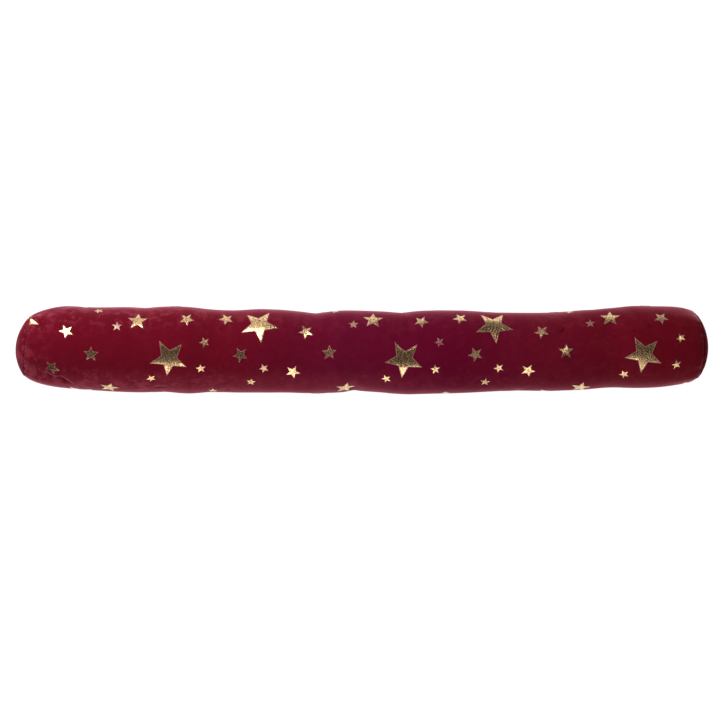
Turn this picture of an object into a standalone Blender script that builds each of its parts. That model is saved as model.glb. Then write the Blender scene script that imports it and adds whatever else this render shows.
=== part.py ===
"""A draught excluder: a stuffed velvet roll that lies along the foot of a door.

It is sewn from three pieces of cloth. One long panel is rolled into a tube, and a round panel closes
each end. The filling makes it lumpy, bends it a little and swells both ends, and the floor presses a
flat strip along its underside.

+X runs along the roll, +Z is up, and the floor is z = 0. Sizes are metres unless a name says mm.
"""

import math
from collections import namedtuple

import bmesh
import bpy
from mathutils import Vector

MM = 0.001

# --- Driving sizes -------------------------------------------------------------------------------

SINK = 5.5 * MM  # how far the floor presses into the round section
FLOOR_EASE = 2.5 * MM  # the cloth leaves the floor over this height
CLOTH = 2.0 * MM  # thickness of a round end panel, with its pile
GAP = 0.3 * MM  # left between two pieces that lie on each other
SEAM_DIP = 2.5 * MM  # depth of the sewn valley round each end

AROUND = 40  # steps round the roll
RING_PITCH = 10.0 * MM  # between the tube's rings
SHOULDER_RINGS = 7  # rings where the tube narrows to its end seam
DOME_ROWS = 5  # rows from an end seam to the middle of its panel

GATHERS = 10  # round each end seam, where the tube is eased onto the smaller panel
GATHER_DEPTH = 1.2 * MM
GATHER_REACH = 30 * MM  # they fade out this far from the seam

# The filling swells in long slow waves that wind round the roll, each with its own pitch.
Wave = namedtuple("Wave", "height_mm length_mm turns phase")
FILLING_WAVES = [
    Wave(0.50, 195, 2, 0.6),
    Wave(0.35, 119, -3, 2.1),
]

# The plan of the roll, from above: its half width, and how far its middle strays to the back (+Y).
Section = namedtuple("Section", "station_mm half_width_mm sideways_mm")
SECTIONS = [
    Section(-379, 54.5, 4.1),
    Section(-350, 54.8, 2.4),
    Section(-304, 55.7, 1.0),
    Section(-280, 55.1, 0.0),
    Section(-257, 55.4, 1.5),
    Section(-225, 56.8, 0.6),
    Section(-194, 54.5, -0.2),
    Section(-163, 54.6, -1.6),
    Section(-126, 55.1, -0.5),
    Section(-95, 53.8, -1.1),
    Section(-59, 52.6, -3.6),
    Section(-27, 53.7, -1.6),
    Section(-7, 53.1, -0.3),
    Section(25, 53.9, -1.5),
    Section(56, 54.2, -4.0),
    Section(71, 54.8, -3.2),
    Section(134, 53.7, -1.5),
    Section(176, 51.8, -2.1),
    Section(243, 51.7, -1.4),
    Section(290, 51.9, 0.7),
    Section(327, 51.4, 3.3),
    Section(353, 53.6, 4.6),
    Section(385, 53.5, 4.9),
    Section(415, 53.5, 5.9),
]

# The two ends. The tube narrows over its shoulder to the seam of the round panel, which bulges.
# A fullness shapes each curve: 2 is an ellipse on a shoulder, and 0.5 is one on a bulge.
# A panel nods towards the ceiling, and turns towards the back.
End = namedtuple(
    "End",
    "name side seam_mm seam_radius_mm shoulder_mm shoulder_fullness"
    " bulge_mm bulge_fullness nod_deg turn_deg",
)
ENDS = [
    End("end_panel_left", -1, -433.9, 38.7, 53, 1.5, 16.0, 0.88, 1.5, 3.9),
    End("end_panel_right", 1, 432.6, 44.0, 50, 1.7, 16.6, 0.82, -12.0, 1.8),
]

# Folds where the cloth is pinched. The angle runs from the crown (0) towards the back (90), the
# heading is 0 along the roll and 90 round it, and a fold is a trough between two soft ridges.
RIDGE = 0.8  # how strongly those ridges rise
Fold = namedtuple("Fold", "station_mm angle_deg heading_deg half_length_mm half_width_mm depth_mm")
FOLDS = [
    Fold(-392, -50, -38, 19, 6.5, 3.0),
    Fold(-280, 72, 90, 17, 8.0, 1.4),
    Fold(-262, -68, 10, 12, 6.0, 1.8),
    Fold(-168, -60, 90, 24, 7.0, 1.6),
    Fold(-59, 66, 84, 30, 10.0, 1.6),
    Fold(-7, -76, 90, 20, 8.0, 1.4),
    Fold(57, 46, 90, 36, 8.0, 2.0),
    Fold(258, 30, 62, 16, 7.0, 1.6),
    Fold(247, -44, 55, 13, 6.5, 1.3),
    Fold(347, 62, 112, 20, 8.0, 1.6),
    Fold(372, 22, -35, 13, 6.5, 1.7),
    Fold(-330, 138, 70, 26, 9.0, 1.8),
    Fold(-120, 118, 96, 28, 9.0, 1.7),
    Fold(110, 128, 82, 26, 9.0, 1.8),
    Fold(300, 112, 98, 24, 9.0, 1.6),
    Fold(-30, -128, 92, 22, 9.0, 1.5),
    Fold(210, -122, 84, 24, 9.0, 1.6),
]


# --- Curves along the roll -----------------------------------------------------------------------


def through_rows(station, column):
    """A smooth curve through one column of SECTIONS, level past the first and last row."""
    rows = SECTIONS
    at = station / MM
    if at <= rows[0].station_mm:
        return getattr(rows[0], column) * MM
    if at >= rows[-1].station_mm:
        return getattr(rows[-1], column) * MM
    i = next(k for k in range(1, len(rows)) if at <= rows[k].station_mm)
    near, far = rows[i - 1], rows[i]
    before, after = rows[max(i - 2, 0)], rows[min(i + 1, len(rows) - 1)]
    span = far.station_mm - near.station_mm
    t = (at - near.station_mm) / span
    a, b = getattr(near, column), getattr(far, column)
    slope_a = (b - getattr(before, column)) / (far.station_mm - before.station_mm) * span
    slope_b = (getattr(after, column) - a) / (after.station_mm - near.station_mm) * span
    curve = (
        a
        + slope_a * t
        + (3 * (b - a) - 2 * slope_a - slope_b) * t**2
        + (2 * (a - b) + slope_a + slope_b) * t**3
    )
    return curve * MM


def inside_seam(station, end):
    """How far a station lies inside the roll from an end seam. Past the seam it is negative."""
    return (end.seam_mm * MM - station) * end.side


def end_near(station):
    return ENDS[0] if station < 0 else ENDS[1]


def full_radius(station):
    """The half width that the filling would give without the drawn-in ends."""
    return through_rows(station, "half_width_mm")


def tube_radius(station):
    """The half width of the tube, drawn in over its shoulder to the seam radius."""
    end = end_near(station)
    share = min(max(inside_seam(station, end) / (end.shoulder_mm * MM), 0.0), 1.0)
    rise = (1 - (1 - share) ** end.shoulder_fullness) ** (1 / end.shoulder_fullness)
    seam_radius = end.seam_radius_mm * MM
    return seam_radius + (full_radius(station) - seam_radius) * rise


def axis_height(station):
    return full_radius(station) - SINK


def lean(station):
    """0 along the roll, rising smoothly over a shoulder to 1 at the seam, which tips as its panel does."""
    end = end_near(station)
    share = min(max(1 - inside_seam(station, end) / (end.shoulder_mm * MM), 0.0), 1.0)
    return share * share * (3 - 2 * share)


# --- Relief of the cloth -------------------------------------------------------------------------


def trough(across):
    """A fold in section, from -1 in its bottom up to a low ridge on both sides and back to nothing."""
    return (RIDGE * across**2 - 1) * math.exp(-(across**2))


def fold_relief(station, angle, radius):
    """How far the folds raise or sink the cloth here."""
    height = 0.0
    for fold in FOLDS:
        away = station - fold.station_mm * MM
        turn = math.remainder(angle - math.radians(fold.angle_deg), math.tau) * radius
        heading = math.radians(fold.heading_deg)
        along = (away * math.cos(heading) + turn * math.sin(heading)) / (fold.half_length_mm * MM)
        across = (turn * math.cos(heading) - away * math.sin(heading)) / (fold.half_width_mm * MM)
        height += fold.depth_mm * MM * trough(across) * math.exp(-(along**4))
    return height


def filling_relief(station, angle):
    """The slow lumps of the filling."""
    height = 0.0
    for wave in FILLING_WAVES:
        turned_by = math.tau * station / (wave.length_mm * MM) + wave.turns * angle + wave.phase
        height += wave.height_mm * MM * math.sin(turned_by)
    return height


def gather_relief(station, angle):
    """The gathers at an end seam, unevenly spaced, and different at the two ends."""
    end = end_near(station)
    inside = inside_seam(station, end)
    if inside < 0:
        return 0.0
    fade = math.exp(-((inside / GATHER_REACH) ** 2))
    drift = 0.7 * math.sin(2 * angle + end.side) + 0.4 * math.sin(3 * angle)
    return GATHER_DEPTH * fade * math.sin(GATHERS * angle + drift)


# --- From a turned shape to the roll as it lies ----------------------------------------------------


def press_to_floor(height):
    """Heights under the floor come up to it, easing in so that the cloth leaves it without a crease."""
    if height >= FLOOR_EASE:
        return height
    if height <= -FLOOR_EASE:
        return 0.0
    return (height + FLOOR_EASE) ** 2 / (4 * FLOOR_EASE)


def as_it_lies(point, has_relief):
    """Moves a point of the plain turned shape, whose axis is X, to its place on the resting roll."""
    end = end_near(point.x)
    radius = math.hypot(point.y, point.z)
    angle = math.atan2(point.y, point.z)
    if has_relief and radius > end.seam_radius_mm * MM - SEAM_DIP:
        radius += fold_relief(point.x, angle, radius) + filling_relief(point.x, angle) * (1 - lean(point.x))
        radius += gather_relief(point.x, angle)
    across, up = radius * math.sin(angle), radius * math.cos(angle)
    tip = lean(point.x) * end.side
    nod, turn = math.radians(end.nod_deg), math.radians(end.turn_deg)
    station = point.x - tip * (up * math.tan(nod) + across * math.tan(turn))
    height = axis_height(point.x) + up
    return Vector((station, through_rows(point.x, "sideways_mm") + across, press_to_floor(height)))


def turned(profile):
    """A closed shape turned about X from a profile of (station, radius) points that ends on the axis."""
    bm = bmesh.new()
    verts = [bm.verts.new((station, 0, radius)) for station, radius in profile]
    edges = [bm.edges.new(pair) for pair in zip(verts, verts[1:])]
    bmesh.ops.spin(
        bm, geom=verts + edges, cent=(0, 0, 0), axis=(1, 0, 0), angle=math.tau, steps=AROUND, use_merge=True
    )
    bmesh.ops.remove_doubles(bm, verts=bm.verts, dist=0.01 * MM)
    bmesh.ops.recalc_face_normals(bm, faces=bm.faces)
    return bm


def add_piece(name, bm, material, has_relief):
    """Lays a turned shape down as it rests and makes it a named object."""
    for vert in bm.verts:
        vert.co = as_it_lies(vert.co, has_relief)
    mesh = bpy.data.meshes.new(name)
    bm.to_mesh(mesh)
    bm.free()
    mesh.materials.append(material)
    mesh.shade_smooth()
    mesh.set_sharp_from_angle(angle=math.radians(40))
    piece = bpy.data.objects.new(name, mesh)
    bpy.context.scene.collection.objects.link(piece)
    return piece


# --- Profiles ------------------------------------------------------------------------------------


def dome(end, rim_radius, height):
    """(height above the seam, radius) points of a bulge, from its rim to its middle."""
    points = []
    for row in range(DOME_ROWS + 1):
        share = math.cos(row / DOME_ROWS * math.pi / 2)
        radius = rim_radius * share
        points.append((height * (1 - share**2) ** end.bulge_fullness, radius))
    points[-1] = (height, 0.0)
    return points


def beyond_seam(end, points):
    """Turns (height above the seam, radius) points into (station, radius) points of that end."""
    return [(end.seam_mm * MM + end.side * height, radius) for height, radius in points]


def bearing(end):
    """The bulge of the filling that an end panel lies on, with the valley of the seam at its rim."""
    rim = end.seam_radius_mm * MM - SEAM_DIP - CLOTH / 2 - GAP
    return [(-GAP, end.seam_radius_mm * MM - SEAM_DIP)] + dome(end, rim, end.bulge_mm * MM - CLOTH - GAP)


def panel_profile(end):
    """An end panel in section: its bulging face, its under side, and its edge tucked into the seam."""
    seam_radius = end.seam_radius_mm * MM
    tucked = seam_radius - SEAM_DIP
    face = [(0.0, tucked)] + [
        (SEAM_DIP / 2 + height, radius)
        for height, radius in dome(end, seam_radius - GAP, end.bulge_mm * MM - SEAM_DIP / 2)
    ]
    under = dome(end, tucked - CLOTH / 2, end.bulge_mm * MM - CLOTH)
    return beyond_seam(end, under[::-1]), beyond_seam(end, face)


def tube_stations():
    """Stations of the tube's rings: even along the roll, closer over the shoulders."""
    left, right = (end.seam_mm * MM for end in ENDS)
    inner = [left + ENDS[0].shoulder_mm * MM, right - ENDS[1].shoulder_mm * MM]
    middle = round((inner[1] - inner[0]) / RING_PITCH)
    stations = [inner[0] + (inner[1] - inner[0]) * i / middle for i in range(middle + 1)]
    for i in range(SHOULDER_RINGS):
        share = (i / SHOULDER_RINGS) ** 1.5
        stations.append(left + share * (inner[0] - left))
        stations.append(right - share * (right - inner[1]))
    return sorted(stations)


def roll_profile():
    """The stuffed tube from the middle of one end's bulge to the other's."""
    left, right = ENDS
    tube = [(station, tube_radius(station)) for station in tube_stations()]
    return beyond_seam(left, bearing(left))[::-1] + tube + beyond_seam(right, bearing(right))


# --- The pieces ----------------------------------------------------------------------------------


def velvet(name, colour):
    material = bpy.data.materials.new(name)
    material.use_nodes = True
    shader = material.node_tree.nodes["Principled BSDF"]
    shader.inputs["Base Color"].default_value = (*colour, 1.0)
    shader.inputs["Roughness"].default_value = 0.85
    shader.inputs["Metallic"].default_value = 0.0
    return material


def make_tube(material):
    return add_piece("velvet_tube", turned(roll_profile()), material, has_relief=True)


def make_end_panel(end, material):
    under, face = panel_profile(end)
    bm = turned(under + face)
    return add_piece(end.name, bm, material, has_relief=False)


def centre_over_origin(pieces):
    """Puts the middle of the whole roll's plan over the origin."""
    corners = [vert.co for piece in pieces for vert in piece.data.vertices]
    low = Vector((min(c.x for c in corners), min(c.y for c in corners), 0))
    high = Vector((max(c.x for c in corners), max(c.y for c in corners), 0))
    for piece in pieces:
        piece.location = -(low + high) / 2


def main():
    for thing in list(bpy.data.objects):
        bpy.data.objects.remove(thing)
    wine = velvet("wine_velvet", (0.127, 0.006, 0.017))
    pieces = [make_tube(wine)] + [make_end_panel(end, wine) for end in ENDS]
    centre_over_origin(pieces)


main()
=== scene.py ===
# %% [markdown]
# # A draught excluder in star-printed velvet
#
# A draught excluder is a long stuffed roll that lies along the foot of a door. This one is wine-red
# velvet with a scatter of pale gold foil stars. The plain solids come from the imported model, at their
# real size. This lesson dresses them: the cloth is swollen by its filling, creased, gathered into its
# end seams, given its pile, and printed.
#
# Everything is in metres, with +X along the roll, +Y to the back and +Z up from the floor.

# %% Load the plain solids
import math
from collections import namedtuple

import bmesh
import bpy
import numpy as np
from mathutils import Matrix, Vector
from mathutils.bvhtree import BVHTree


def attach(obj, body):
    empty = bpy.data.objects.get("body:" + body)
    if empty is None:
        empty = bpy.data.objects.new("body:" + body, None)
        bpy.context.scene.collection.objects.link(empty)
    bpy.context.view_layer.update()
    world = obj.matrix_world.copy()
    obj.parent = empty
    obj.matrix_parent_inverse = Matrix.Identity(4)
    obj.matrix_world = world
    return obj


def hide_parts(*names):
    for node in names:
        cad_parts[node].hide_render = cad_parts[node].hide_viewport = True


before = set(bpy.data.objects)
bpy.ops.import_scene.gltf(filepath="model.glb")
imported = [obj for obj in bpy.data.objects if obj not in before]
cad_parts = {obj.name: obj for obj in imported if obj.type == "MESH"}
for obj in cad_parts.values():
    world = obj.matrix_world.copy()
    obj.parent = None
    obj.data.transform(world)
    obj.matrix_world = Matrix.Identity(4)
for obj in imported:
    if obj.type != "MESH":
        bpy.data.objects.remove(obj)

MM = 0.001
SCENE = bpy.context.scene
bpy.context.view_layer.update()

# %% [markdown]
# ## The camera
#
# The roll was photographed from straight overhead, with its back at the top of the picture. A long
# lens from high up keeps both ends as wide as the middle, so the height of the camera follows from
# the lens and from the width that the frame has to cover.

# %% Hang the camera overhead
PHOTO_WIDTH, PHOTO_HEIGHT = 722, 704  # pixels
ROLL_MIDDLE = (361.15, 350.15)  # the middle of the roll in those pixels
PIXEL = 1.3025 * MM  # on the roll, at its widest
LENS, SENSOR = 150.0, 36.0  # mm
WIDEST_HEIGHT = 50 * MM  # the roll's outline lies this far above the floor
FARTHEST = 50.0  # m, that the camera sees

camera = bpy.data.objects.new("camera", bpy.data.cameras.new("camera"))
SCENE.collection.objects.link(camera)
camera.data.lens = LENS
camera.data.sensor_width = SENSOR
camera.data.clip_end = FARTHEST
camera.location = (
    (PHOTO_WIDTH / 2 - ROLL_MIDDLE[0]) * PIXEL,
    (ROLL_MIDDLE[1] - PHOTO_HEIGHT / 2) * PIXEL,
    WIDEST_HEIGHT + PHOTO_WIDTH * PIXEL * LENS / SENSOR,
)
SCENE.camera = camera
print("camera height:", round(camera.location.z, 2), "m")

# %% [markdown]
# ## Light
#
# Foil shows what surrounds it, so the stars tell where the light came from. Those on the crown show a
# dark ceiling, so nothing bright hangs over the camera. Those that lean towards the back and lie on the
# left are almost white: a strong soft box stands behind the left half of the roll, and a second one
# lower down and further out. In the middle of the back a weak board fills the gap. Along the front the
# stars are an even gold, from one wide box and a narrow one at the right, and a few at the right that
# lean back catch a last box high up. Three fills light only the pile: they are kept out of
# reflections, as the thin roof and walls of a light tent would be. Brightness is the radiance of a
# box's face, where white paper in the same light is near 1.

# %% Hang a soft box for each row, from its place, its size and how bright its face is
Box = namedtuple("Box", "name place aim width height brightness in_reflections")
BOXES = [
    Box("key_back_left", (-0.685, 0.94, 0.87), (-0.685, 0, 0.05), 1.13, 0.78, 6.4, True),
    Box("key_low_left", (-1.30, 1.12, 0.36), (-1.00, 0, 0.05), 0.85, 0.66, 6.0, True),
    Box("back_board", (-0.40, 1.20, 0.28), (-0.40, 0, 0.05), 0.71, 0.46, 0.65, True),
    Box("front_box", (-0.11, -1.12, 0.66), (-0.11, 0, 0.05), 0.88, 1.27, 2.05, True),
    Box("front_right_box", (0.68, -1.20, 0.50), (0.68, 0, 0.05), 0.34, 0.80, 1.25, True),
    Box("right_box", (0.86, 0.71, 1.50), (0.50, 0, 0.05), 0.45, 0.60, 2.0, True),
    Box("roof_fill", (-0.90, 1.00, 1.90), (0, 0, 0), 2.6, 2.2, 1.75, False),
    Box("back_fill", (-0.45, 1.30, 0.25), (-0.45, 0, 0.05), 1.5, 0.4, 1.7, False),
    Box("front_fill", (-0.30, -1.05, 0.85), (-0.18, 0, 0.05), 1.05, 0.7, 3.2, False),
]

for box in BOXES:
    light = bpy.data.lights.new(box.name, "AREA")
    light.shape = "RECTANGLE"
    light.size, light.size_y = box.width, box.height
    light.energy = box.brightness * math.pi * box.width * box.height
    lamp = bpy.data.objects.new(box.name, light)
    SCENE.collection.objects.link(lamp)
    lamp.location = box.place
    lamp.rotation_euler = (Vector(box.aim) - Vector(box.place)).to_track_quat("-Z", "Y").to_euler()
    lamp.visible_glossy = box.in_reflections
print("soft boxes:", len(BOXES), "of which the foil shows", sum(box.in_reflections for box in BOXES))

# %% [markdown]
# ## A few words for nodes
#
# The room, the floor and the cloth all get their look from shader nodes. Most of these are of three
# kinds: a noise, a smooth step between two values, and a sum or product of two. Each has a short
# function here, so that a network of them reads as a few lines.


# %% Helpers for any node tree
Noise = namedtuple("Noise", "per_metre detail roughness distortion")


def noise_node(tree, vector, noise):
    """A noise, between 0 and 1. Its per_metre is a number or a socket."""
    node = tree.nodes.new("ShaderNodeTexNoise")
    tree.links.new(vector, node.inputs["Vector"])
    if isinstance(noise.per_metre, float):
        node.inputs["Scale"].default_value = noise.per_metre
    else:
        tree.links.new(noise.per_metre, node.inputs["Scale"])
    node.inputs["Detail"].default_value = noise.detail
    node.inputs["Roughness"].default_value = noise.roughness
    node.inputs["Distortion"].default_value = noise.distortion
    return node.outputs["Fac"]


def steps_between(tree, value, low, high, first=0.0, last=1.0):
    """A smooth step of a value, from first where it is low to last where it is high."""
    step = tree.nodes.new("ShaderNodeMapRange")
    step.interpolation_type = "SMOOTHSTEP"
    tree.links.new(value, step.inputs["Value"])
    step.inputs["From Min"].default_value = low
    step.inputs["From Max"].default_value = high
    step.inputs["To Min"].default_value = first
    step.inputs["To Max"].default_value = last
    return step.outputs["Result"]


def combined(tree, operation, first, second):
    """A Math node of two sockets, or of a socket and a number."""
    node = tree.nodes.new("ShaderNodeMath")
    node.operation = operation
    for socket, value in zip(node.inputs, (first, second)):
        if isinstance(value, (int, float)):
            socket.default_value = value
        else:
            tree.links.new(value, socket)
    return node.outputs[0]


# %% [markdown]
# ## The room
#
# Between the boxes the foil shows a dim room. The stars at the left end that face outwards are the
# darkest, so the room is darker on that side.

# %% A dim room, lighter towards the horizon
CEILING, HORIZON = 0.12, 0.15  # how bright they are
HORIZON_ENDS, CEILING_STARTS = 0.02, 0.45  # how far up the direction points, from 0 to 1
DARK_SIDE = 0.35  # how bright the left is beside the right
DARK_TO, LIGHT_FROM = -0.65, -0.35  # how far right the direction points, from -1 to 1

room = bpy.data.worlds.new("room")
SCENE.world = room
room.use_nodes = True
tree = room.node_tree
tree.nodes.clear()
direction = tree.nodes.new("ShaderNodeSeparateXYZ")
tree.links.new(tree.nodes.new("ShaderNodeTexCoord").outputs["Generated"], direction.inputs[0])
upwards = steps_between(tree, direction.outputs["Z"], HORIZON_ENDS, CEILING_STARTS, HORIZON, CEILING)
rightwards = steps_between(tree, direction.outputs["X"], DARK_TO, LIGHT_FROM, DARK_SIDE, 1.0)
sky = tree.nodes.new("ShaderNodeBackground")
tree.links.new(combined(tree, "MULTIPLY", upwards, rightwards), sky.inputs["Strength"])
tree.links.new(sky.outputs[0], tree.nodes.new("ShaderNodeOutputWorld").inputs[0])
SCENE.view_settings.view_transform = "Standard"
print("the room is", round(CEILING / HORIZON, 2), "times as bright at the ceiling as at the horizon")

# %% [markdown]
# ## The floor
#
# The roll lies on a light table, which lights its sides from below and leaves no shadow. The table
# has an end, or the stars that look along the floor would be brighter than they are. White paper
# that glows in its middle does both.

# %% A plain pale floor that glows like a light table
FLOOR_SIZE = 16.0  # m
PAPER = (0.12, 0.12, 0.12, 1)  # what it gives back of the other lights
GLOW, GLOW_FAR = 0.95, 0.3  # of the light table, and of the floor around it
TABLE_ENDS, ALL_DIM = 0.7, 1.0  # m, from the middle of the roll

bm = bmesh.new()
bmesh.ops.create_grid(bm, x_segments=1, y_segments=1, size=FLOOR_SIZE / 2)
floor_mesh = bpy.data.meshes.new("floor")
bm.to_mesh(floor_mesh)
bm.free()
floor = bpy.data.objects.new("floor", floor_mesh)
SCENE.collection.objects.link(floor)
paper = bpy.data.materials.new("white_paper")
paper.use_nodes = True
tree = paper.node_tree
shader = tree.nodes["Principled BSDF"]
shader.inputs["Base Color"].default_value = PAPER
shader.inputs["Roughness"].default_value = 1.0
shader.inputs["Emission Color"].default_value = (1, 1, 1, 1)
away = tree.nodes.new("ShaderNodeVectorMath")
away.operation = "LENGTH"
tree.links.new(tree.nodes.new("ShaderNodeTexCoord").outputs["Object"], away.inputs[0])
glow = steps_between(tree, away.outputs["Value"], TABLE_ENDS, ALL_DIM, GLOW, GLOW_FAR)
tree.links.new(glow, shader.inputs["Emission Strength"])
floor_mesh.materials.append(paper)
print("floor:", FLOOR_SIZE, "m square, glowing out to", TABLE_ENDS, "m")

# %% [markdown]
# ## The stuffed tube
#
# The solid is a coarse grid of rings. Its copy is merged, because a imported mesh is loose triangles,
# and its triangles are paired back into the four-sided faces that it was built from. Four-sided
# faces in rings fold like cloth, where a remesh would scatter the folds, so no remesh is used here.


# %% Copy a solid as clean four-sided faces
SAME_POINT = 0.01 * MM  # points this near each other are merged


def quad_copy(node):
    """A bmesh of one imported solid, merged, in four-sided faces where it was built from them."""
    bm = bmesh.new()
    bm.from_mesh(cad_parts[node].data)
    bmesh.ops.remove_doubles(bm, verts=bm.verts, dist=SAME_POINT)
    bmesh.ops.join_triangles(bm, faces=bm.faces, angle_face_threshold=math.pi, angle_shape_threshold=math.pi)
    return bm


def new_piece(name, bm):
    """Turns a bmesh into an object at the origin, and frees it."""
    mesh = bpy.data.meshes.new(name)
    bm.to_mesh(mesh)
    bm.free()
    mesh.shade_smooth()
    piece = bpy.data.objects.new(name, mesh)
    SCENE.collection.objects.link(piece)
    return piece


def apply_modifiers(piece):
    """Replaces a piece's mesh by what its modifiers make of it, and removes them."""
    mesh = bpy.data.meshes.new_from_object(piece.evaluated_get(bpy.context.evaluated_depsgraph_get()))
    mesh.name = piece.name
    piece.modifiers.clear()
    piece.data = mesh


def subdivide(piece, levels=1):
    finer = piece.modifiers.new("finer", "SUBSURF")
    finer.levels = finer.render_levels = levels
    apply_modifiers(piece)


cover = new_piece("velvet_cover", quad_copy("velvet_tube"))
subdivide(cover)
print("cover:", len(cover.data.vertices), "points,", len(cover.data.polygons), "faces")

# %% [markdown]
# ## Where the seams are
#
# Each end of the tube is sewn to a round panel. Four later steps need to know where: pinning the
# cloth before it is inflated, gathering it, drawing the tube's cut edge over the panel and trimming
# the print. The rim of each panel's solid lies on its seam, so a plane is fitted to the rim instead
# of typing numbers in.


# %% Fit a plane to the rim of each end panel
def points_of(piece):
    """The mesh's points as an array, one row each."""
    flat = np.empty(len(piece.data.vertices) * 3)
    piece.data.vertices.foreach_get("co", flat)
    return flat.reshape(-1, 3)


Seam = namedtuple("Seam", "middle outward radius")
RIM_SHARE = 0.93  # of the panel's radius: what is further out is its rim


def seam_of(node, side):
    points = points_of(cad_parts[node])
    middle = (points.min(0) + points.max(0)) / 2
    reach = np.hypot(points[:, 1] - middle[1], points[:, 2] - middle[2])
    rim = points[reach > RIM_SHARE * reach.max()]
    middle = rim.mean(0)
    outward = np.linalg.svd(rim - middle)[2][2]
    outward *= side * np.sign(outward[0])
    return Seam(middle, outward, reach.max())


seams = {"end_panel_left": seam_of("end_panel_left", -1), "end_panel_right": seam_of("end_panel_right", 1)}
for node, seam in seams.items():
    print(node, "seam at", np.round(seam.middle / MM, 1), "facing", np.round(seam.outward, 3))


def beyond_seams(points):
    """How far each point lies past the nearer seam's plane. Inside the roll it is negative."""
    return np.max([(points - seam.middle) @ seam.outward for seam in seams.values()], axis=0)


# %% [markdown]
# ## The spine of the roll
#
# Creases, gathers and stars are all placed by how far along the roll they lie and by their angle
# round it, from the crown (0) towards the back (90). For that the roll needs a middle line. It is
# measured on the mesh: halfway across, and one half width below the top.

# %% Measure the middle line
STATION_STEP = 10 * MM
CROWN, BACK = Vector((0, 0, 1)), Vector((0, 1, 0))

Spine = namedtuple("Spine", "stations across up radius")


def spine_of(points):
    """The middle line of a roll of points, with its half width, at even stations."""
    rows = []
    for station in np.arange(points[:, 0].min() + STATION_STEP, points[:, 0].max(), STATION_STEP):
        ring = points[abs(points[:, 0] - station) < STATION_STEP / 2]
        low, high = ring.min(0), ring.max(0)
        radius = (high[1] - low[1]) / 2
        rows.append((station, (high[1] + low[1]) / 2, high[2] - radius, radius))
    return Spine(*np.array(rows).T)


spine = spine_of(points_of(cover))


def on_spine(station, column):
    """One column of the spine, at any station or array of stations."""
    return np.interp(station, spine.stations, getattr(spine, column))


def round_the_roll(points):
    """The angle of each point round the spine."""
    across = points[:, 1] - on_spine(points[:, 0], "across")
    up = points[:, 2] - on_spine(points[:, 0], "up")
    return np.arctan2(across, up)


print("half width from", round(spine.radius.min() / MM, 1), "to", round(spine.radius.max() / MM, 1), "mm")

# %% [markdown]
# ## Filling it
#
# A tube that is stuffed through one end is tight in the middle and puckers where it is eased onto
# the smaller round panels. Blender's cloth does this when the cloth is a little too big for the
# space it is held in: the seams and the strip on the floor are pinned, the cloth grows by a small
# share, more towards its ends, and pressure pushes the slack into folds. The slack also bows the
# roll, which the solid's outline must not do. So each point keeps only what it moves more than
# the cloth around it, and that is capped.

# %% Pin, inflate and cap
HELD_BY_SEAM = 1.5 * MM  # cloth this near a seam is held by it
ON_FLOOR = 0.5 * MM
PRESSURE = 4.0
POINT_MASS = 0.3  # kg
STRETCH_STIFFNESS, BEND_STIFFNESS = 40, 0.5
SLACK, END_SLACK = 0.002, 0.05  # how much bigger the cloth is than its space, along the roll and at its ends
END_REACH = 55 * MM
MOST_MOVED = 3.0 * MM
STEPS = 20
ROUNDS = 40  # of averaging, which reaches about 25 mm over the cloth


def normals_of(piece):
    flat = np.empty(len(piece.data.vertices) * 3)
    piece.data.vertices.foreach_get("normal", flat)
    return flat.reshape(-1, 3)


def averaged(values, mesh, rounds):
    """Values on a mesh's points, each averaged with its neighbours a number of times."""
    ends = np.array([edge.vertices[:] for edge in mesh.edges])
    count = np.bincount(ends.ravel(), minlength=len(values))
    for _ in range(rounds):
        around = np.bincount(ends[:, 0], values[ends[:, 1]], len(values))
        around += np.bincount(ends[:, 1], values[ends[:, 0]], len(values))
        values = (values + around / count) / 2
    return values


def push(piece, distance):
    """Moves each point of a piece along its normal."""
    moved = points_of(piece) + normals_of(piece) * distance[:, None]
    piece.data.vertices.foreach_set("co", moved.ravel())
    piece.data.update()


def inflate(piece, held, slack_share):
    """Runs Blender's cloth with pressure, and keeps its folds but not how it bows the whole piece."""
    start, outward = points_of(piece), normals_of(piece)
    pins = piece.vertex_groups.new(name="held")
    pins.add(np.flatnonzero(held).tolist(), 1.0, "REPLACE")
    slack = piece.vertex_groups.new(name="slack")
    for index, share in enumerate(slack_share):
        slack.add([index], share, "REPLACE")
    cloth = piece.modifiers.new("filling", "CLOTH")
    cloth.settings.mass = POINT_MASS
    cloth.settings.tension_stiffness = cloth.settings.compression_stiffness = STRETCH_STIFFNESS
    cloth.settings.bending_stiffness = BEND_STIFFNESS
    cloth.settings.use_pressure = True
    cloth.settings.uniform_pressure_force = PRESSURE
    cloth.settings.vertex_group_shrink = slack.name
    cloth.settings.shrink_min, cloth.settings.shrink_max = -SLACK, -END_SLACK
    cloth.settings.vertex_group_mass = pins.name
    cloth.settings.effector_weights.gravity = 0.0
    cloth.collision_settings.use_collision = False
    for step in range(1, STEPS + 1):
        SCENE.frame_set(step)
    apply_modifiers(piece)
    piece.vertex_groups.clear()
    moved = ((points_of(piece) - start) * outward).sum(1)
    folds = moved - averaged(moved, piece.data, ROUNDS)
    folds = np.clip(folds, -MOST_MOVED, MOST_MOVED)
    piece.data.vertices.foreach_set("co", (start + outward * folds[:, None]).ravel())
    piece.data.update()
    print("cloth moved up to", round(moved.max() / MM, 1), "mm, folds up to", round(folds.max() / MM, 1))


points = points_of(cover)
inside = -beyond_seams(points)
held = (inside < HELD_BY_SEAM) | (points[:, 2] < ON_FLOOR)
inflate(cover, held, np.exp(-((inside / END_REACH) ** 2)))
subdivide(cover)
print("cover:", len(cover.data.polygons) * 2, "triangles")
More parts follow.
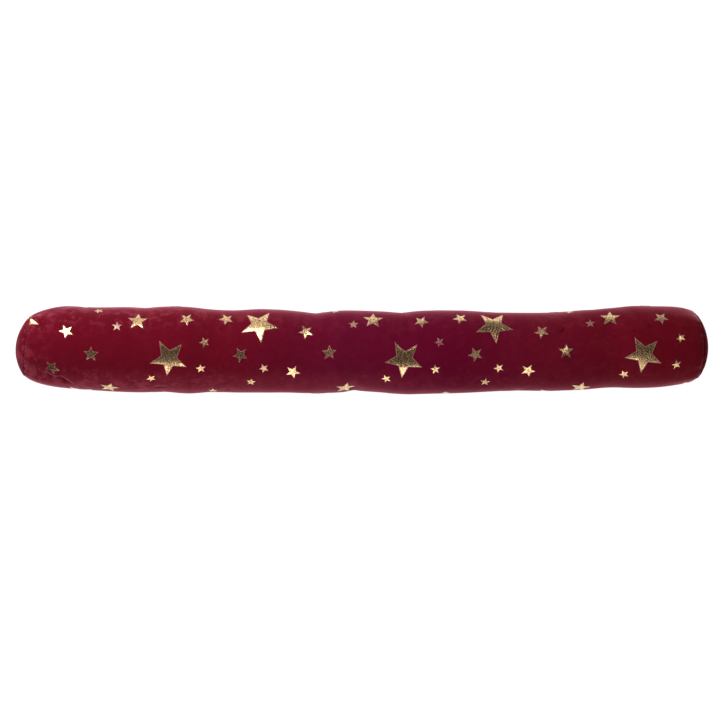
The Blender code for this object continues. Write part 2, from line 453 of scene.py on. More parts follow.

# %% [markdown]
# ## Creases
#
# The solid already has the broad folds. What it is too coarse for are the narrow creases in them,
# and a few short dents where the filling is thin. Each is one row of a table: a trough between two
# low ridges, as in the solid, but sharper. A row with a negative depth is a low ridge instead. Most
# of those are too flat to see in the pile, but they tilt a star, and so change what it reflects.

# %% Press the creases in
Crease = namedtuple("Crease", "along_mm angle_deg heading_deg half_length_mm half_width_mm depth_mm")
CREASES = [
    Crease(-59, 28, 90, 14, 14, -1.2),
    Crease(-398, -40, -28, 11, 8, -2.4),
    Crease(-402, -45, -30, 7, 3.2, 1.9),
    Crease(-384, -55, -48, 11, 4.0, 2.2),
    Crease(-390.5, -46, -8, 4, 2.0, 0.9),
    Crease(-377, -62, -20, 3.5, 2.0, 0.9),
    Crease(-384, 62, 35, 16, 7.5, -0.6),
    Crease(-423, 53, 0, 10, 9, -3.8),
    Crease(-390, -33, 90, 10, 12, -1.7),
    Crease(258, -11, -45, 12, 14, -2.5),
    Crease(-262, -63, 4, 6, 2.6, 1.3),
    Crease(-172, -66, 88, 9, 3.0, 0.9),
    Crease(-176, -50, 30, 4, 2.6, 0.7),
    Crease(58, 40, 92, 22, 7.0, 0.6),
    Crease(259, 31, 60, 6, 5.5, 0.9),
    Crease(248, -42, 58, 6, 4.0, 0.6),
    Crease(312, -33, 40, 4, 2.6, 0.8),
    Crease(318, -26, 64, 4, 2.6, 0.7),
    Crease(352, 22, -42, 4, 2.6, 0.9),
    Crease(372, 30, -30, 6, 3.4, 0.8),
    Crease(-345, 132, 60, 12, 4.0, 1.2),
    Crease(-118, 120, 100, 16, 4.4, 1.1),
    Crease(104, 134, 75, 12, 4.0, 1.2),
    Crease(302, 108, 96, 14, 4.2, 1.0),
    Crease(-20, -122, 86, 14, 4.2, 1.0),
    Crease(396, -110, 40, 12, 4.0, 1.4),
]
RIDGE = 0.8  # how strongly the ridges beside a trough rise
CRUSHED_AND_SHADED_WIDTH = 0.9  # of a crease's darkened trough, as a share of its half width


def in_crease(points, crease):
    """How far along and across one crease each point is, in half lengths and half widths."""
    away = points[:, 0] - crease.along_mm * MM
    turn = round_the_roll(points) - math.radians(crease.angle_deg)
    turn = ((turn + math.pi) % math.tau - math.pi) * on_spine(crease.along_mm * MM, "radius")
    heading = math.radians(crease.heading_deg)
    along = away * math.cos(heading) + turn * math.sin(heading)
    across = turn * math.cos(heading) - away * math.sin(heading)
    return along / (crease.half_length_mm * MM), across / (crease.half_width_mm * MM)


points = points_of(cover)
relief, crushing_and_shade = np.zeros(len(points)), np.zeros(len(points))
for crease in CREASES:
    along, across = in_crease(points, crease)
    relief += crease.depth_mm * MM * (RIDGE * across**2 - 1) * np.exp(-(across**2) - along**4)
    # The trough of each crease is darkened in colour: flattened pile and painted shade
    crushing_and_shade += np.clip(crease.depth_mm, 0, 1) * np.exp(-((across / CRUSHED_AND_SHADED_WIDTH) ** 2) - along**4)
cover.data.attributes.new("crushed", "FLOAT", "POINT").data.foreach_set("value", np.clip(crushing_and_shade, 0, 1))
push(cover, relief)
print("creases:", len(CREASES), "up to", round(-relief.min() / MM, 1), "mm deep")

# %% [markdown]
# ## Gathers at the seams
#
# Every stitch pinches the cloth a little, so both the tube and the round panel run up to the seam
# in fine puckers. They are a ripple round the seam that fades away from it. Its spacing and its
# depth both drift, because no hand or machine gathers velvet evenly. The two cloths pucker on their
# own, which would leave slits between them, so the tube's cut edge is drawn a little over the panel.

# %% Pucker the cloth along a seam
PUCKERS = 27  # round each seam
PUCKER_DEPTH = 0.45 * MM
PUCKER_REACH = 9 * MM
SLOW_DRIFT, FAST_DRIFT = 1.4, 0.8  # of the ripple, in radians: twice and five times round the seam
LEAST_DEEP = 0.3  # how deep the flattest puckers are beside the deepest
OVERLAP, OVERLAP_REACH = 1.2 * MM, 2.5 * MM


def puckers(points, seam):
    """The ripple beside one seam, on the tube or on the panel."""
    away = points - seam.middle
    angle = np.arctan2(away[:, 1], away[:, 2])
    drift = SLOW_DRIFT * np.sin(2 * angle + seam.middle[0] / STATION_STEP) + FAST_DRIFT * np.sin(5 * angle)
    depth = (1 + LEAST_DEEP) / 2 + (1 - LEAST_DEEP) / 2 * np.sin(3 * angle + 2 * drift)
    along, out = away @ seam.outward, np.hypot(away[:, 1], away[:, 2]) - seam.radius
    fade = np.exp(-(along**2 + out**2) / PUCKER_REACH**2)
    return PUCKER_DEPTH * depth * fade * np.sin(PUCKERS * angle + drift)


def close_seam(piece, seam):
    """Draws a piece's cut edge over the other cloth's, so that no slit is left between them."""
    points = points_of(piece)
    beyond = (points - seam.middle) @ seam.outward
    share = np.exp(-((beyond / OVERLAP_REACH) ** 2))
    piece.data.vertices.foreach_set("co", (points + seam.outward * OVERLAP * share[:, None]).ravel())
    piece.data.update()


points = points_of(cover)
push(cover, sum(puckers(points, seam) for seam in seams.values()))
for seam in seams.values():
    close_seam(cover, seam)

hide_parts("velvet_tube")
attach(cover, "root")

# %% [markdown]
# ## The round end panels
#
# Each end is closed by a disc of the same velvet. It was cut flat and the filling pushes it out, so
# it is stretched cloth. The solid's copy is subdivided twice, which rounds its edge over into the
# seam, and then puckered.

# %% Make both end panels
for node, seam in seams.items():
    panel = new_piece("velvet_" + node, quad_copy(node))
    subdivide(panel, levels=2)
    push(panel, puckers(points_of(panel), seam))
    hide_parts(node)
    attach(panel, "root")
    across = 2 * seam.radius
    print(panel.name, "cut", round(across / MM), "mm across,", len(panel.data.polygons) * 2, "triangles")

# %% [markdown]
# ## One foil star
#
# The stars are a foil print: a film laid flat on the pile, with crisp edges and a metal's shine.
# Painting them in the velvet's material would blur their edges, so each is a thin piece of its own
# that follows the cloth. It starts as a ten-sided disc. Every other corner is drawn in, which
# leaves five points. An inset marks a narrow rim where the print is worn and where the velvet's
# sheen is painted in pink, and cuts in both directions give it enough points to wrap round the roll.
# Each point carries how much of the film is left there, from 0 at the edge to 1 in the middle, for
# the material to read.

# %% Cut a flat star
POINTS = 5
WAIST = 0.425  # the inner corners' distance from the middle, as a share of the tips'
WORN_SHEEN_RIM, MOST_WORN_SHEEN = 1.1 * MM, 0.065  # how wide the worn edge with its painted sheen is, at most as a share of the star's radius
CELL = 2.4 * MM  # between the cuts
ON_CUT = 0.02 * MM  # a point this near a cut lies on it


def flat_star(radius, turn):
    """A flat star in XY as a bmesh, with one tip turned that far from +X."""
    bm = bmesh.new()
    middle = bm.verts.layers.float.new("middle")
    bmesh.ops.create_circle(bm, cap_ends=True, segments=2 * POINTS, radius=radius)
    corners = list(bm.verts)
    bmesh.ops.scale(bm, verts=corners[1::2], vec=(WAIST,) * 3)
    first = math.atan2(corners[0].co.y, corners[0].co.x)
    bmesh.ops.rotate(bm, verts=bm.verts, cent=(0, 0, 0), matrix=Matrix.Rotation(turn - first, 3, "Z"))
    rim = min(WORN_SHEEN_RIM, MOST_WORN_SHEEN * radius)
    bmesh.ops.inset_region(bm, faces=bm.faces[:], thickness=rim, use_boundary=True, use_even_offset=True)
    inner = [face for face in bm.faces if len(face.verts) == 2 * POINTS]
    for vert in inner[0].verts:
        vert[middle] = 1.0
    poked = bmesh.ops.poke(bm, faces=inner)
    for vert in poked["verts"]:
        vert[middle] = 1.0
    for axis in (Vector((1, 0, 0)), Vector((0, 1, 0))):
        cuts = int(radius / CELL)
        for cut in range(-cuts, cuts + 1):
            everything = bm.verts[:] + bm.edges[:] + bm.faces[:]
            place = axis * cut * CELL
            bmesh.ops.bisect_plane(bm, geom=everything, plane_co=place, plane_no=axis, dist=ON_CUT)
    return bm


# %% [markdown]
# ## Laying it on the cloth
#
# A print wraps round the roll without stretching, so a star's X runs along the roll and its Y
# becomes an angle: its length divided by the cloth's radius. A ray from the spine at that angle
# finds the cloth. The star lies a hair above it and reaches a hair into it, and its rim is pressed
# a little deeper. The whole print is turned round the roll by a few degrees towards the ends, where
# the cloth was twisted as it was sewn, and at the left end it is pulled inwards by the gathers. So
# the turn and the pull are looked up for each point of a star, not once for the whole star.

# %% Wrap a star round the roll
CLOTH_RADIUS = 53 * MM  # of the cloth's tube before its ends are gathered
FILM_ABOVE, FILM_THICKNESS = 0.35 * MM, 0.4 * MM
RIM_SINKS = 0.08 * MM  # the print's edge is pressed into the pile


def tree_of(piece):
    return BVHTree.FromObject(piece, bpy.context.evaluated_depsgraph_get())


cover_tree = tree_of(cover)


def skew_at(along_mm):
    """How far the print is turned and pulled out of place there, and turned further at the two outlines."""
    stations, *columns = SKEW_COLUMNS
    return [np.interp(along_mm, stations, column) for column in columns]


def wrap(bm, along, angle):
    """Lays a flat star on the roll, with its middle at a station and at an angle on the cloth."""
    middle = bm.verts.layers.float["middle"]
    for vert in bm.verts:
        turned_deg, pulled_mm, front_deg, back_deg = skew_at((along + vert.co.x) / MM)
        station = along + vert.co.x + pulled_mm * MM
        turned = angle + vert.co.y / CLOTH_RADIUS
        share = min(abs(turned) / OUTLINE, 1) ** 2
        turned += math.radians(turned_deg + share * (front_deg if turned < 0 else back_deg))
        source = Vector((station, on_spine(station, "across"), on_spine(station, "up")))
        ray = BACK * math.sin(turned) + CROWN * math.cos(turned)
        hit, normal = cover_tree.ray_cast(source, ray)[:2]
        if hit is None:  # past the end of the cloth, where the star is trimmed later
            hit, normal = source + ray * CLOTH_RADIUS, ray
        facing = normal if normal.dot(ray) > 0 else -normal
        vert.co = hit + facing * (FILM_ABOVE - RIM_SINKS * (1 - vert[middle]))


def thicken(bm):
    """Gives a laid star its thickness, inwards, with its faces pointing out."""
    bmesh.ops.recalc_face_normals(bm, faces=bm.faces)
    bmesh.ops.solidify(bm, geom=bm.faces[:], thickness=FILM_THICKNESS)
    bmesh.ops.recalc_face_normals(bm, faces=bm.faces)


# %% [markdown]
# ## The chart of the print
#
# The pattern repeats every 301 mm along the cloth. The chart is one repeat: where each star lies,
# how it is turned and which of four sizes it is. The 17 stars that show were measured in the photo,
# in each of their copies, and a least squares fit over the copies gave their places, the repeat and
# the stretch towards the roll's ends. These are rounded here, and the medium star at -65 degrees was
# then turned. The rows from 100 to 260 degrees are on the side that was not seen, and are
# scattered to match, as are the few at the outlines. A second, shorter table holds how far the print
# is turned and pulled along the roll. It started from the same fit and was then changed. The
# print is also turned a few degrees more towards the front and the back, more so further round.

# %% The chart
REPEAT = 301.1  # mm
STRETCH = 1.49e-7  # of the print per square mm, towards the ends
Skew = namedtuple("Skew", "along_mm turned_deg pulled_mm front_deg back_deg")
SKEWS = [
    Skew(-446, 15, 5, 5, 0),
    Skew(-432, 12, 5, 5, 0),
    Skew(-419, 5, 4, 5, 0),
    Skew(-405, -0.5, 0, 6, 0),
    Skew(-380, -7, 0.5, 7, 0),
    Skew(-300, -5.4, 1.5, 9.5, 1),
    Skew(-200, -2.2, 1, 8, 4),
    Skew(-100, 0, 0, 0, 5),
    Skew(200, 0.3, 0.7, 0, 5),
    Skew(300, 0.5, 0.9, -3, 5),
    Skew(400, -3.5, 0.9, -6, 2),
    Skew(440, 4, 0.5, -6, 0),
]
SKEW_COLUMNS = np.array(SKEWS).T
OUTLINE = math.radians(67)  # how far round the roll its outline lies, seen from above
RADIUS = {"large": 25.7, "medium": 14.3, "small": 10.4, "tiny": 7.1}  # mm, to the tips

Star = namedtuple("Star", "along_mm angle_deg turn_deg size")
CHART = [
    Star(55, -9, 47, "large"),
    Star(170, 38, 60, "large"),
    Star(-59, -98, 46, "large"),
    Star(15, 47, 16, "medium"),
    Star(-21, -65, 3, "medium"),
    Star(77, 45, 61, "small"),
    Star(127, 49, 44, "small"),
    Star(146, -4, 44, "small"),
    Star(-71, 29, 46, "small"),
    Star(-88, -29, 64, "small"),
    Star(-41, -1, 16, "small"),
    Star(100, 13, 40, "tiny"),
    Star(32, -40, 43, "tiny"),
    Star(95, -24, 24, "tiny"),
    Star(176, -24, 42, "tiny"),
    Star(159, -48, 9, "tiny"),
    Star(-10, 38, 17, "tiny"),
    Star(-34, 71, 40, "tiny"),
    Star(-52, 89, 20, "tiny"),
    Star(61, 89, 55, "tiny"),
    Star(109, -77, 18, "tiny"),
    Star(20, 128, 30, "large"),
    Star(150, 158, 12, "large"),
    Star(80, -140, 52, "large"),
    Star(-40, 172, 25, "medium"),
    Star(110, 116, 8, "medium"),
    Star(10, -120, 35, "medium"),
    Star(160, -112, 60, "small"),
    Star(-75, 118, 33, "small"),
    Star(66, 150, 66, "small"),
    Star(-10, -162, 14, "small"),
    Star(120, -170, 50, "small"),
    Star(-88, 146, 20, "tiny"),
    Star(-20, 140, 58, "tiny"),
    Star(62, 112, 5, "tiny"),
    Star(168, 126, 44, "tiny"),
    Star(46, -158, 30, "tiny"),
    Star(-66, -146, 62, "tiny"),
    Star(134, -136, 11, "tiny"),
    Star(38, -96, 48, "tiny"),
]


def stretched(along_mm):
    """Where a place on the flat print lies along the stuffed roll."""
    return (along_mm + STRETCH * along_mm**3) * MM


# %% [markdown]
# ## Rubbed stars, with painted shade
#
# Foil that is printed on pile rubs off. Some stars have kept less of it than others and look dull
# and pink, with the velvet showing through, and they are not the same ones in each repeat. So they
# are listed by where they lie on the stuffed roll, with the share of the film that is gone. That
# share is painted shade too: it is set for each star so that the star comes out as dark as wanted,
# in place of a darker reflection.

# %% Stars whose film is rubbed thin, with painted shade
RubbedAndShaded = namedtuple("RubbedAndShaded", "along_mm angle_deg share")
RUBBED_AND_SHADED = [
    RubbedAndShaded(-313, 38, 0.4),
    RubbedAndShaded(-202, 13, 0.25),
    RubbedAndShaded(-125, -24, 0.3),
    RubbedAndShaded(-41, -1, 0.15),
    RubbedAndShaded(-10, 38, 0.4),
    RubbedAndShaded(77, 45, 0.2),
    RubbedAndShaded(100, 13, 0.62),
    RubbedAndShaded(147, -4, 0.25),
    RubbedAndShaded(232, 29, 0.25),
    RubbedAndShaded(295, 38, 0.55),
    RubbedAndShaded(386, 45, 0.25),
    RubbedAndShaded(20, 128, 0.3),
    RubbedAndShaded(-228, 172, 0.4),
]
SAME_STAR = 6  # mm or degrees


def film_left_and_shade(along, angle):
    """The share of the film that a star at this place has kept, which also paints shade on it."""
    for spot in RUBBED_AND_SHADED:
        off = abs(along / MM - spot.along_mm), abs(math.degrees(angle) - spot.angle_deg)
        if max(off) < SAME_STAR:
            return 1 - spot.share
    return 1.0


print("rubbed stars:", len(RUBBED_AND_SHADED), "of which the most worn has kept", 1 - max(spot.share for spot in RUBBED_AND_SHADED))

# %% [markdown]
# ## Printing and trimming
#
# Each size of star becomes one piece, with all its copies along the roll. The cloth was printed
# before it was sewn, so a star that reaches into a seam is cut off there. A star whose middle lies
# well past the seam would show no more than a tip, and is left out.

# %% Print the roll
COPIES = range(-2, 3)
TURNED_IN = 4.5 * MM  # of the cloth before a seam is folded into it
SHARP_FROM = math.radians(40)  # between two faces of the film


def trim(bm):
    """Cuts off what reaches past an end seam."""
    for seam in seams.values():
        bmesh.ops.bisect_plane(
            bm,
            geom=bm.verts[:] + bm.edges[:] + bm.faces[:],
            plane_co=seam.middle - seam.outward * TURNED_IN,
            plane_no=seam.outward,
            clear_outer=True,
            dist=ON_CUT,
        )


def print_stars(size):
    """All the stars of one size, as one piece."""
    radius = RADIUS[size] * MM
    room = min(abs(seam.middle[0]) for seam in seams.values()) + radius / 2  # further out it's at most a tip
    mesh = bpy.data.meshes.new("foil_stars_" + size)
    together = bmesh.new()
    count = 0
    for star in CHART:
        for copy in COPIES:
            along = stretched(star.along_mm + copy * REPEAT)
            if star.size != size or abs(along) > room:
                continue
            bm = flat_star(radius, math.radians(star.turn_deg))
            wrap(bm, along, math.radians(star.angle_deg))
            for vert in bm.verts:
                # Rubbed film and painted shade: a listed star keeps less of its gold
                vert[bm.verts.layers.float["middle"]] *= film_left_and_shade(along, math.radians(star.angle_deg))
            trim(bm)
            if bm.faces:
                thicken(bm)
                bm.to_mesh(mesh)
                together.from_mesh(mesh)
                count += 1
            bm.free()
    piece = new_piece("foil_stars_" + size, together)
    bpy.data.meshes.remove(mesh)
    piece.data.set_sharp_from_angle(angle=SHARP_FROM)
    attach(piece, "root")
    triangles = sum(len(face.vertices) - 2 for face in piece.data.polygons)
    print(piece.name, count, "stars,", triangles, "triangles")
    return piece


foil_pieces = [print_stars(size) for size in RADIUS]

# %% [markdown]
# ## Finishes
#
# Two effects are used by both velvets, the cover's and its duller copy of painted shade, which also
# clothes the end panels: the nap and the grain of the pile. So each is a node group, which is built
# once and placed in each material with its own values.


# %% A helper for node groups
def node_group(name, inputs, outputs):
    """An empty shader node group, with a Vector input and then number inputs and outputs."""
    tree = bpy.data.node_groups.new(name, "ShaderNodeTree")
    tree.interface.new_socket("Vector", in_out="INPUT", socket_type="NodeSocketVector")
    for socket_name in inputs:
        tree.interface.new_socket(socket_name, in_out="INPUT", socket_type="NodeSocketFloat")
    for socket_name in outputs:
        tree.interface.new_socket(socket_name, in_out="OUTPUT", socket_type="NodeSocketFloat")
    return tree, tree.nodes.new("NodeGroupInput"), tree.nodes.new("NodeGroupOutput")


# %% [markdown]
# ## The nap
#
# The nap is the lie of the pile. Patches brushed one way look lighter than those brushed the other,
# which is the pile's sheen painted into the colour, and here and there a dark speck is pushed down
# to its root. The patches are a coarse noise, with a finer mottle and with streaks that run round
# the roll. They are faint on the crown and plainest on the back's left: the painted sheen is made
# stronger where the cloth is seen at a slant and where it is most brightly lit. The left of the
# front was stroked as a whole, and its sheen is painted in as well.

# %% The nap
MOTTLES = Noise(170.0, 4.0, 0.7, 0.2)
STREAKS = Noise(130.0, 2.0, 0.6, 0.0)
SPECKS = Noise(240.0, 2.0, 0.55, 0.0)
PATCH_EDGES, SPECK_EDGES = (0.46, 0.62), (0.62, 0.70)  # of the noise: where one starts, and is full
ROUND_THE_ROLL = (1.0, 0.08, 0.08)  # streaks are long round it and change along it
CROWN_ENDS, SIDES_FROM = 104 * MM, 80 * MM  # above the floor
FAINTEST, SHEEN_ON_SIDES, SHEEN_ON_LEFT = 0.04, 0.14, 0.5  # strength of the patches' painted sheen: everywhere, and added on the sides and on the left
LEFT_ENDS, LEFT_FROM = -20 * MM, -330 * MM  # along the roll
STROKED_SHEEN = 0.26  # how much painted sheen lightens the stroked front
STROKED_SHEEN_BELOW, STROKED_SHEEN_FULLY = -22 * MM, -44 * MM  # to the front
STROKED_SHEEN_ENDS, STROKED_SHEEN_FROM = 150 * MM, -60 * MM  # along the roll

nap, group_in, group_out = node_group("nap", ["Patches Per Metre", "Unevenness"], ["Brushed", "Specks"])
place = group_in.outputs["Vector"]
axes = nap.nodes.new("ShaderNodeSeparateXYZ")
nap.links.new(place, axes.inputs[0])
patches = noise_node(nap, place, Noise(group_in.outputs["Patches Per Metre"], 5.0, 0.66, 0.3))
patches = steps_between(nap, patches, *PATCH_EDGES)
mottle = combined(nap, "SUBTRACT", noise_node(nap, place, MOTTLES), 0.5)
round_it = nap.nodes.new("ShaderNodeMapping")
round_it.inputs["Scale"].default_value = ROUND_THE_ROLL
nap.links.new(place, round_it.inputs["Vector"])
streaks = combined(nap, "SUBTRACT", noise_node(nap, round_it.outputs["Vector"], STREAKS), 0.5)
fine = combined(nap, "MULTIPLY", combined(nap, "ADD", mottle, streaks), group_in.outputs["Unevenness"])

# Painted sheen: the patches are stronger on the sides, where the cloth is seen at a slant, and on the left,
# where it is most brightly lit
sides = steps_between(nap, axes.outputs["Z"], CROWN_ENDS, SIDES_FROM)
left = steps_between(nap, axes.outputs["X"], LEFT_ENDS, LEFT_FROM)
strength = combined(nap, "ADD", combined(nap, "MULTIPLY", left, SHEEN_ON_LEFT), SHEEN_ON_SIDES)
strength = combined(nap, "ADD", combined(nap, "MULTIPLY", sides, strength), FAINTEST)
# Painted sheen over the stroked left of the front
front = steps_between(nap, axes.outputs["Y"], STROKED_SHEEN_BELOW, STROKED_SHEEN_FULLY)
front = combined(nap, "MULTIPLY", front, steps_between(nap, axes.outputs["X"], STROKED_SHEEN_ENDS, STROKED_SHEEN_FROM))
brushed_sheen = combined(nap, "MULTIPLY", combined(nap, "ADD", patches, fine), strength)
brushed_sheen = combined(nap, "ADD", brushed_sheen, combined(nap, "MULTIPLY", front, STROKED_SHEEN))
nap.links.new(brushed_sheen, group_out.inputs["Brushed"])
specks = steps_between(nap, noise_node(nap, place, SPECKS), *SPECK_EDGES)
nap.links.new(combined(nap, "MULTIPLY", specks, strength), group_out.inputs["Specks"])
print("nap:", len(nap.nodes), "nodes")

# %% [markdown]
# ## The grain
#
# The grain is the height of the pile itself: fine tufts on low clumps. Fibres would take millions of
# triangles, so it is only a height, which each material turns into a bump.

# %% The grain
CLUMPS = Noise(420.0, 3.0, 0.6, 0.0)
TUFT_SHARE = 0.3  # how high a tuft is beside a clump

grain, group_in, group_out = node_group("grain", ["Tufts Per Metre"], ["Height"])
place = group_in.outputs["Vector"]
tufts = noise_node(grain, place, Noise(group_in.outputs["Tufts Per Metre"], 2.0, 0.6, 0.0))
clumps = noise_node(grain, place, CLUMPS)
height = combined(grain, "ADD", combined(grain, "MULTIPLY", tufts, TUFT_SHARE), clumps)
grain.links.new(height, group_out.inputs["Height"])
print("grain:", len(grain.nodes), "nodes")


# %% [markdown]
# ## What the materials share
#
# Each material is one Principled shader. Its noises are in the coordinates of the piece, in metres,
# so they keep their real size and run on from one piece to the next.

# %% Helpers for materials
def new_material(name):
    """A material with its shader, and the object's own coordinates."""
    material = bpy.data.materials.new(name)
    material.use_nodes = True
    tree = material.node_tree
    place = tree.nodes.new("ShaderNodeTexCoord").outputs["Object"]
    return material, tree, tree.nodes["Principled BSDF"], place


def use_group(tree, group, vector, values):
    """Places a node group in a material, with its own value for each number input."""
    node = tree.nodes.new("ShaderNodeGroup")
    node.node_tree = group
    tree.links.new(vector, node.inputs["Vector"])
    for socket_name, value in values.items():
        node.inputs[socket_name].default_value = value
    return node.outputs


def mixed_colour(tree, share, first, second):
    """A colour between two, each a socket or an (r, g, b)."""
    mix = tree.nodes.new("ShaderNodeMix")
    mix.data_type = "RGBA"
    tree.links.new(share, mix.inputs["Factor"])
    for socket, colour in ((mix.inputs["A"], first), (mix.inputs["B"], second)):
        if isinstance(colour, tuple):
            socket.default_value = (*colour, 1)
        else:
            tree.links.new(colour, socket)
    return mix.outputs["Result"]


def bump(tree, shader, height, distance):
    """Tilts what a shader reflects by a height, which is this distance where it is 1."""
    node = tree.nodes.new("ShaderNodeBump")
    node.inputs["Distance"].default_value = distance
    node.inputs["Strength"].default_value = 1.0
    tree.links.new(height, node.inputs["Height"])
    tree.links.new(node.outputs["Normal"], shader.inputs["Normal"])


# %% [markdown]
# ## Velvet
#
# Velvet is dark where the eye looks down into the pile and light where it looks across it. The
# shader's sheen does that. Under it the colour goes from a deep wine to a lighter, pinker one where
# the pile is brushed over, which is painted sheen, and to nearly black in the trough of a crease,
# which is flattened pile and painted shade. The deep colour itself drifts towards plum in the middle
# of the roll, and how light it is along the roll is painted light and shade.
#
# The end panels are cut with the pile towards the viewer, and get a darker copy of the velvet with
# hardly any sheen, which is also painted shade. The cover has that darker copy as painted shade on
# the faces along its cut edge at the seams and in the bottom of the sharpest creases.

# %% The velvet
# A lighter, pinker wine for the painted sheen of brushed pile, and a near black for specks and for flattened
# pile and painted shade in creases
BRUSHED_SHEEN_WINE, CRUSHED_AND_SHADED_WINE = (0.175, 0.0190, 0.034), (0.040, 0.0006, 0.0030)
# The deep colour: its hue drifts towards plum in the middle, and how light it is along the roll is painted
# light and shade
DyeAndShade = namedtuple("DyeAndShade", "along_mm red green blue")
DYES_AND_SHADE = [
    DyeAndShade(-440, 0.083, 0.0020, 0.0075),
    DyeAndShade(-180, 0.083, 0.0020, 0.0075),
    DyeAndShade(-20, 0.075, 0.0022, 0.0135),
    DyeAndShade(110, 0.077, 0.0012, 0.0125),
    DyeAndShade(230, 0.084, 0.0026, 0.0100),
    DyeAndShade(330, 0.086, 0.0022, 0.0080),
    DyeAndShade(440, 0.094, 0.0020, 0.0056),
]
SHEEN_TINT = (0.95, 0.34, 0.42, 1)
SHEEN, SHADED_SHEEN = 0.95, 0.15  # of the cover, and of its darker copy: painted shade, and on the end panels the pile's lie too
SHEEN_ROUGHNESS, PILE_ROUGHNESS = 0.35, 0.9
PATCHES, TUFTS = 80.0, 1400.0  # per metre
RAGGED = Noise(380.0, 3.0, 0.7, 0.0)  # breaks up the painted shade in a crease
RAGGED_EDGES = (0.15, 0.60)
SHADED_EDGE = 2.0 * MM  # of the cover along each seam, which gets painted shade
MUCH_CRUSHED_AND_SHADED = 0.75  # where 1 is the most
PILE_RELIEF = 0.2 * MM


def dye_and_shade_along(tree, place):
    """The deep colour of the cloth, which drifts along the roll, with painted light and shade along it."""
    along = tree.nodes.new("ShaderNodeSeparateXYZ")
    tree.links.new(place, along.inputs[0])
    ramp = tree.nodes.new("ShaderNodeValToRGB")
    low, high = DYES_AND_SHADE[0].along_mm * MM, DYES_AND_SHADE[-1].along_mm * MM
    share = combined(tree, "DIVIDE", combined(tree, "SUBTRACT", along.outputs["X"], low), high - low)
    tree.links.new(share, ramp.inputs["Fac"])
    stops = ramp.color_ramp.elements
    while len(stops) < len(DYES_AND_SHADE):
        stops.new(1.0)
    for stop, dye_and_shade in zip(stops, DYES_AND_SHADE):
        stop.position = (dye_and_shade.along_mm * MM - low) / (high - low)
        stop.color = (dye_and_shade.red, dye_and_shade.green, dye_and_shade.blue, 1)
    return ramp.outputs["Color"]


def velvet(name, sheen):
    """A velvet material with its own amount of sheen."""
    material, tree, shader, place = new_material(name)
    lie = use_group(tree, nap, place, {"Patches Per Metre": PATCHES, "Unevenness": 1.0})
    pile = use_group(tree, grain, place, {"Tufts Per Metre": TUFTS})
    wine = mixed_colour(tree, lie["Brushed"], dye_and_shade_along(tree, place), BRUSHED_SHEEN_WINE)
    creased = tree.nodes.new("ShaderNodeAttribute")
    creased.attribute_name = "crushed"
    ragged = combined(tree, "MULTIPLY", creased.outputs["Fac"], noise_node(tree, place, RAGGED))
    crushed = combined(tree, "MAXIMUM", steps_between(tree, ragged, *RAGGED_EDGES), lie["Specks"])
    tree.links.new(mixed_colour(tree, crushed, wine, CRUSHED_AND_SHADED_WINE), shader.inputs["Base Color"])
    shader.inputs["Roughness"].default_value = PILE_ROUGHNESS
    shader.inputs["Specular IOR Level"].default_value = 0.0
    shader.inputs["Sheen Weight"].default_value = sheen
    shader.inputs["Sheen Roughness"].default_value = SHEEN_ROUGHNESS
    shader.inputs["Sheen Tint"].default_value = SHEEN_TINT
    bump(tree, shader, pile["Height"], PILE_RELIEF)
    return material


def clothe(piece, material):
    piece.data.materials.clear()
    piece.data.materials.append(material)


clothe(cover, velvet("wine_velvet", SHEEN))
# The end panels get the darker copy with little sheen: the pile's lie, and painted shade
shaded_velvet = velvet("wine_velvet_turned", SHADED_SHEEN)
for node in seams:
    clothe(bpy.data.objects["velvet_" + node], shaded_velvet)

# Painted shade on the cover: faces along the seams and in the deepest creases get the darker copy
cover.data.materials.append(shaded_velvet)
dull = (-beyond_seams(points_of(cover)) < SHADED_EDGE) | (crushing_and_shade > MUCH_CRUSHED_AND_SHADED)
dull_faces = [bool(dull[list(face.vertices)].all()) for face in cover.data.polygons]
cover.data.polygons.foreach_set("material_index", dull_faces)
print("faces of crushed pile:", sum(dull_faces))

# %% [markdown]
# ## Foil
#
# The film is a pale gold metal. Pressed onto pile it is full of fine dents, and bending the roll
# has crackled it in lines round the roll. Both make a low relief, and in both the film is painted
# darker, towards bronze, as painted shade, which breaks up what the film reflects. In patches it is
# rubbed and shines less sharply. Along its edge it turns to a pink, worn film with the velvet's sheen
# painted in, and is broken by specks, where wine velvet shows.

# %% The foil
# The film's gold, and the bronze of the painted shade in its dents and cracks
PALE_GOLD, SHADE_BRONZE = (0.88, 0.60, 0.31), (0.37, 0.22, 0.10)
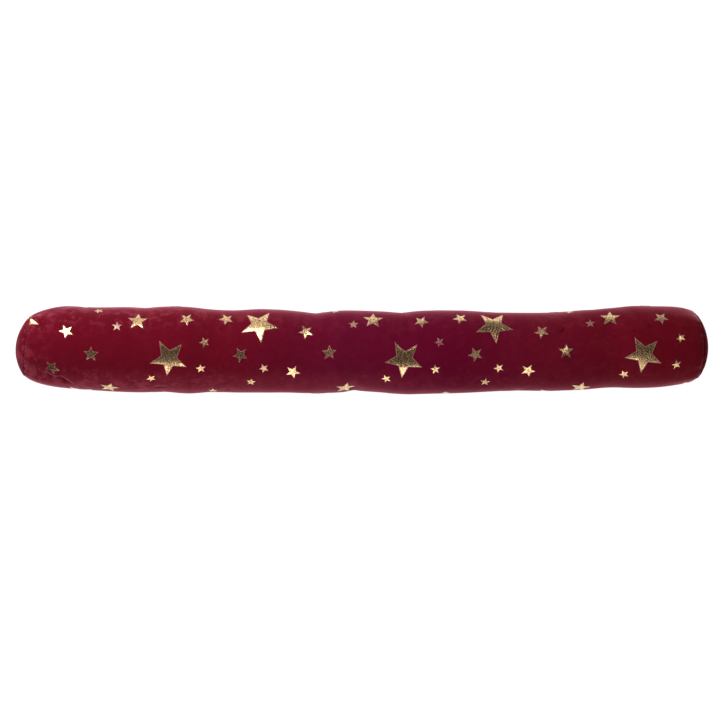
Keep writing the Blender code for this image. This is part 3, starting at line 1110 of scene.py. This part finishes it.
# The pink of worn film with the velvet's sheen painted in, and the bare velvet
WORN_SHEEN_PINK, BARE_WINE = (0.20, 0.074, 0.07), (0.10, 0.008, 0.016)
SMOOTH_FILM, RUBBED_FILM = 0.08, 0.21  # how rough the film is where it is whole, and where it is rubbed
FLAKES, FLAKE_EDGES = Noise(850.0, 3.0, 0.65, 0.0), (0.47, 0.57)  # where the film starts, and is whole
CRACKS, CRACK_EDGES = Noise(70.0, 3.0, 0.65, 0.3), (0.50, 0.62)
DENTS, DENT_EDGES = Noise(400.0, 4.0, 0.75, 0.0), (0.47, 0.60)
RUBS, RUB_EDGES = Noise(520.0, 3.0, 0.7, 0.0), (0.48, 0.66)
FULL_FILM = (0.35, 0.95)  # the share of the film that is left: where pink starts to turn gold, and is gold
CRACKS_CLOSER = (6.0, 1.0, 1.0)  # cracks lie closer along the roll than round it
EDGE_HOLDS = 0.15  # how much better the film holds inside its rim
CRACK_SHADE, CRACK_DEPTH = 0.6, 0.5  # painted shade and depth of a crack, beside a dent's
FILM_RELIEF = 0.055 * MM

foil, tree, shader, place = new_material("gold_foil")
edge = tree.nodes.new("ShaderNodeAttribute")
edge.attribute_name = "middle"
whole = steps_between(tree, edge.outputs["Fac"], *FULL_FILM)
flakes = noise_node(tree, place, FLAKES)
kept = combined(tree, "ADD", combined(tree, "MULTIPLY", edge.outputs["Fac"], EDGE_HOLDS), flakes)
kept = steps_between(tree, kept, *FLAKE_EDGES)
lengthwise = tree.nodes.new("ShaderNodeMapping")
lengthwise.inputs["Scale"].default_value = CRACKS_CLOSER
tree.links.new(place, lengthwise.inputs["Vector"])
crackle = steps_between(tree, noise_node(tree, lengthwise.outputs["Vector"], CRACKS), *CRACK_EDGES)
dents = steps_between(tree, noise_node(tree, place, DENTS), *DENT_EDGES)
# Painted shade: the film is darker, towards bronze, in its dents and cracks
film_shade = combined(tree, "MAXIMUM", combined(tree, "MULTIPLY", crackle, CRACK_SHADE), dents)
# Where the film is thin, at the rim and on rubbed stars, it turns to pink: worn film, with painted sheen
film = mixed_colour(tree, whole, WORN_SHEEN_PINK, mixed_colour(tree, film_shade, PALE_GOLD, SHADE_BRONZE))
tree.links.new(mixed_colour(tree, kept, BARE_WINE, film), shader.inputs["Base Color"])
tree.links.new(combined(tree, "MULTIPLY", kept, whole), shader.inputs["Metallic"])
rubbed = steps_between(tree, noise_node(tree, place, RUBS), *RUB_EDGES, SMOOTH_FILM, RUBBED_FILM)
tree.links.new(rubbed, shader.inputs["Roughness"])
relief = combined(tree, "ADD", dents, combined(tree, "MULTIPLY", crackle, CRACK_DEPTH))
bump(tree, shader, relief, FILM_RELIEF)

for piece in foil_pieces:
    clothe(piece, foil)
print("foil:", len(tree.nodes), "nodes, on", len(foil_pieces), "pieces")
